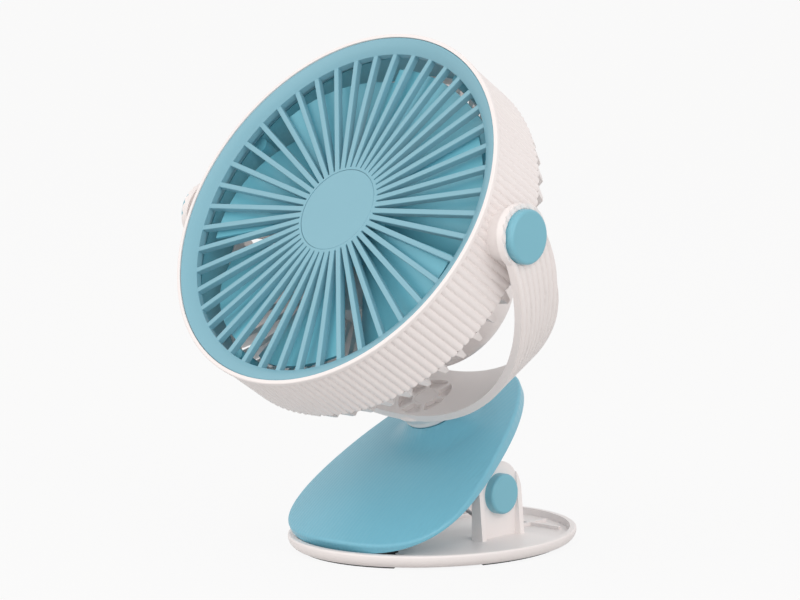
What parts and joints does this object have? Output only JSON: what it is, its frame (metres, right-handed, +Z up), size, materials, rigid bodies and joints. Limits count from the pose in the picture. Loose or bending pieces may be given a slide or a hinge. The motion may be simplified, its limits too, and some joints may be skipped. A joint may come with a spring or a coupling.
{
  "type": "clip fan",
  "caption": "Desk fan with a round ribbed head that tilts in a curved yoke, swivelling on a sprung clip whose oval base also stands on a table.",
  "frame": {"origin": "on the table, under the middle of the oval base plate, at the rubber feet's underside", "axes": "+Z up from the table, +X along the clip's hinge to the fan's left as seen from the front, and the fan looks towards -Y at rest"},
  "size_m": [0.171, 0.1566, 0.1992],
  "materials": {
    "white_plastic": "satin moulded ABS",
    "blue_plastic": "satin moulded ABS",
    "black_rubber": "matt moulded rubber",
    "steel": "plain turned steel",
    "spring_steel": "drawn wire, bright",
    "nylon": "natural nylon",
    "motor_can": "drawn can, zinc plated",
    "cell_sleeve": "shrink sleeve",
    "board": "solder mask",
    "black_plastic": "moulded",
    "plated_steel": "nickel plated",
    "clear_lens": "clear moulded"
  },
  "bodies": {
    "base": {"base_plate": "white_plastic", "base_feet": "black_rubber", "lower_grip_pad": "black_rubber", "hinge_pin": "steel", "hinge_cap_right": "blue_plastic", "hinge_cap_left": "blue_plastic", "clamp_spring": "spring_steel", "spring_sleeve": "white_plastic"},
    "jaw": {"clamp_jaw": "blue_plastic", "upper_grip_pad": "black_rubber", "neck_pin": "steel", "neck_washer": "steel", "neck_nut": "steel"},
    "yoke": {"yoke": "white_plastic", "neck_plug": "white_plastic", "yoke_cap_right": "blue_plastic", "yoke_cap_left": "blue_plastic"},
    "head": {"housing_shell": "white_plastic", "pivot_pins": "steel", "pivot_washers": "nylon", "front_grille": "blue_plastic", "centre_badge": "blue_plastic", "inner_duct": "blue_plastic", "rear_guard": "white_plastic", "housing_screws": "steel", "rear_cover": "white_plastic", "motor": "motor_can", "motor_screws": "steel", "battery_cell": "cell_sleeve", "circuit_board": "board", "push_switch": "black_plastic", "usb_socket": "plated_steel", "indicator_lens": "clear_lens"},
    "impeller": {"impeller": "blue_plastic", "motor_shaft": "steel"},
    "button": {"speed_button": "blue_plastic"}
  },
  "joints": [
    {"name": "jaw_hinge", "type": "hinge", "parent": "base", "child": "jaw", "pos_m": [0, 0.005, 0.0223], "axis": [-1, 0, 0], "range_deg": [0, 30], "stiffness_Nm_per_rad": 1.1, "springref_deg": -45.84, "deforming": ["clamp_spring"]},
    {"name": "neck_swivel", "type": "hinge", "parent": "jaw", "child": "yoke", "pos_m": [0, -0.04404, 0.12806], "axis": [0, -0.4924, 0.8704], "continuous": true},
    {"name": "head_tilt", "type": "hinge", "parent": "yoke", "child": "head", "pos_m": [0, -0.04404, 0.12806], "axis": [1, 0, 0], "continuous": true},
    {"name": "impeller_spin", "type": "hinge", "parent": "head", "child": "impeller", "pos_m": [0, -0.04404, 0.12806], "axis": [0, -0.8545, 0.5195], "continuous": true},
    {"name": "button_press", "type": "slide", "parent": "head", "child": "button", "axis": [0, -0.8545, 0.5195], "range_m": [0, 0.0009], "stiffness_N_per_m": 800, "springref_m": -0.001}
  ]
}
